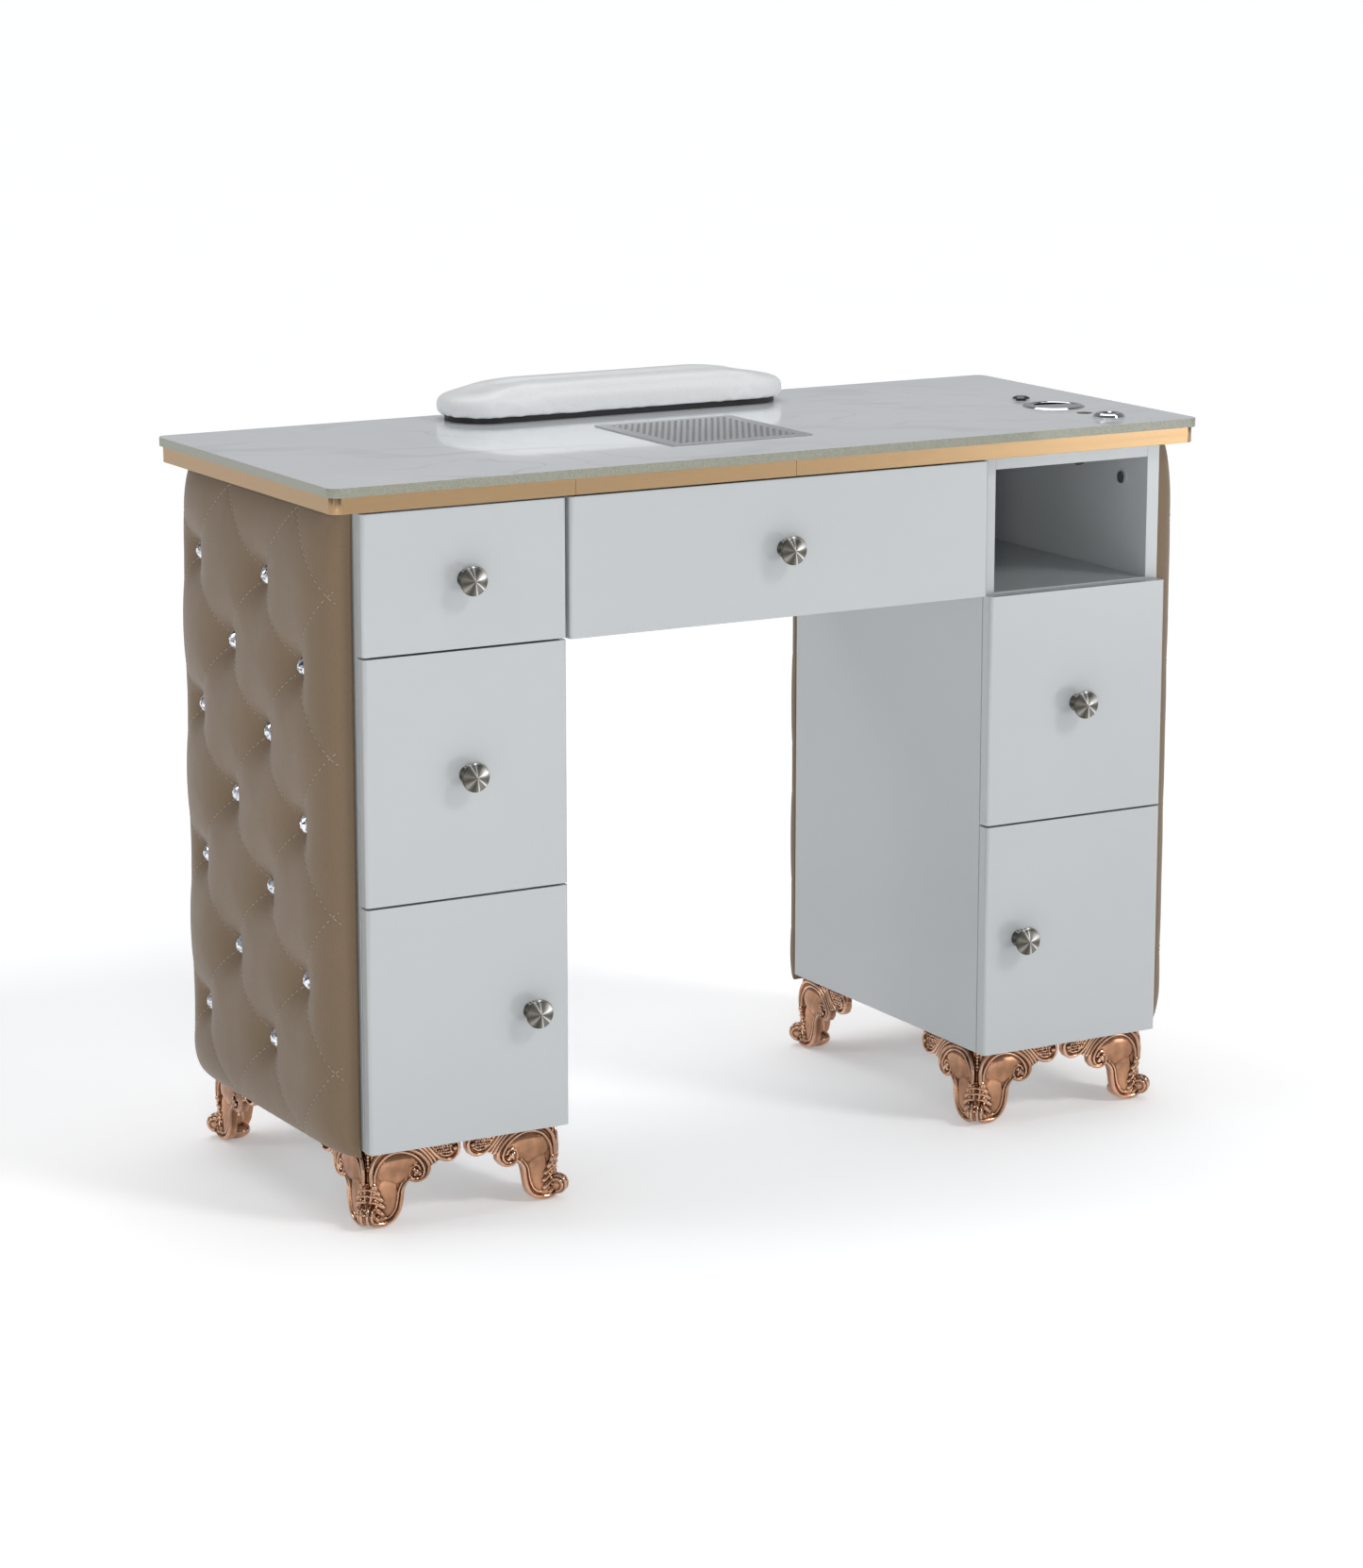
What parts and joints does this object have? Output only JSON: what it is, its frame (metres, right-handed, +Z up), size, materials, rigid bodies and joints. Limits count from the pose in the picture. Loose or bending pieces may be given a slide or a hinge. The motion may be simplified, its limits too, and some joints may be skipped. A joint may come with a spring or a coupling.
{
  "type": "manicure table",
  "caption": "Two-pedestal manicure table: stone top with extractor grille, armrest and cable fittings, drawers, doors, open cubby, tufted sides and ornate feet.",
  "frame": {"origin": "on the floor under the centre of the whole table's box", "axes": "+X along the length, to the right of someone facing the drawers; +Y from the drawer fronts to the client's side; +Z up"},
  "size_m": [1.108, 0.474, 0.8523],
  "materials": {
    "stone": "polished, faint grey veins",
    "board": "white gloss lacquer",
    "drawer_board": "white satin laminate",
    "gold_band": "brushed gold",
    "rose_gold": "rose-gold plating, polished",
    "leather": "taupe, tufted",
    "crystal": "faceted, clear",
    "steel": "plain",
    "nickel": "radially brushed nickel",
    "black_plastic": "matt",
    "black_gloss": "gloss",
    "chrome": "polished",
    "grille_metal": "satin",
    "wire": "insulation",
    "white_leather": "smooth"
  },
  "bodies": {
    "table": {"top_slab": "stone", "sub_top": "board", "l_side_out": "board", "l_side_in": "board", "l_bottom": "board", "l_top": "board", "l_back": "board", "l_shelf": "board", "r_side_out": "board", "r_side_in": "board", "r_bottom": "board", "r_top": "board", "r_back": "board", "r_shelf": "board", "r_cubby_floor": "board", "apron": "board", "trim_left": "gold_band", "trim_mid": "gold_band", "trim_right": "gold_band", "feet_left": "rose_gold", "feet_right": "rose_gold", "pad_left": "leather", "pad_right": "leather", "pad_back_left": "leather", "pad_back_right": "leather", "crystals": "crystal", "runners_fixed": "steel", "carcass_hardware": "steel", "extractor_case": "black_plastic", "grommet_ring": "chrome", "lamp_socket": "chrome", "cubby_wires": "wire"},
    "left_top_drawer": {"dl1_front": "board", "dl1_box": "drawer_board", "dl1_knob": "nickel", "dl1_rails": "steel"},
    "left_middle_drawer": {"dl2_front": "board", "dl2_box": "drawer_board", "dl2_knob": "nickel", "dl2_rails": "steel"},
    "centre_drawer": {"dc_front": "board", "dc_box": "drawer_board", "dc_knob": "nickel", "dc_rails": "steel"},
    "right_drawer": {"dr_front": "board", "dr_box": "drawer_board", "dr_knob": "nickel", "dr_rails": "steel"},
    "left_door": {"doorl_panel": "board", "doorl_knob": "nickel", "doorl_cups": "steel"},
    "right_door": {"doorr_panel": "board", "doorr_knob": "nickel", "doorr_cups": "steel"},
    "fan": {"fan_rotor": "black_plastic"},
    "grille": {"grille": "grille_metal"},
    "grommet_cap": {"grommet_cap": "chrome"},
    "switch": {"switch_button": "black_gloss"},
    "armrest": {"arm_cushion": "white_leather", "arm_base": "black_plastic"}
  },
  "joints": [
    {"name": "left_top_drawer_slide", "type": "slide", "parent": "table", "child": "left_top_drawer", "axis": [0, -1, 0], "range_m": [0, 0.26]},
    {"name": "left_middle_drawer_slide", "type": "slide", "parent": "table", "child": "left_middle_drawer", "axis": [0, -1, 0], "range_m": [0, 0.26]},
    {"name": "centre_drawer_slide", "type": "slide", "parent": "table", "child": "centre_drawer", "axis": [0, -1, 0], "range_m": [0, 0.26]},
    {"name": "right_drawer_slide", "type": "slide", "parent": "table", "child": "right_drawer", "axis": [0, -1, 0], "range_m": [0, 0.26]},
    {"name": "left_door_hinge", "type": "hinge", "parent": "table", "child": "left_door", "pos_m": [-0.512, -0.213, 0.224], "axis": [0, 0, -1], "range_deg": [0, 100]},
    {"name": "right_door_hinge", "type": "hinge", "parent": "table", "child": "right_door", "pos_m": [0.512, -0.213, 0.224], "axis": [0, 0, 1], "range_deg": [0, 100]},
    {"name": "fan_spin", "type": "hinge", "parent": "table", "child": "fan", "pos_m": [0, -0.033, 0.728], "axis": [0, 0, 1], "continuous": true},
    {"name": "grille_lift", "type": "slide", "parent": "table", "child": "grille", "axis": [0, 0, 1], "range_m": [0, 0.05]},
    {"name": "grommet_turn", "type": "hinge", "parent": "table", "child": "grommet_cap", "pos_m": [0.46, -0.056, 0.812], "axis": [0, 0, 1], "continuous": true},
    {"name": "switch_press", "type": "slide", "parent": "table", "child": "switch", "axis": [0, 0, -1], "range_m": [0, 0.0015], "stiffness_N_per_m": 400, "springref_m": -0.0005},
    {"name": "armrest_lift", "type": "slide", "parent": "table", "child": "armrest", "axis": [0, 0, 1], "range_m": [0, 0.08]}
  ]
}
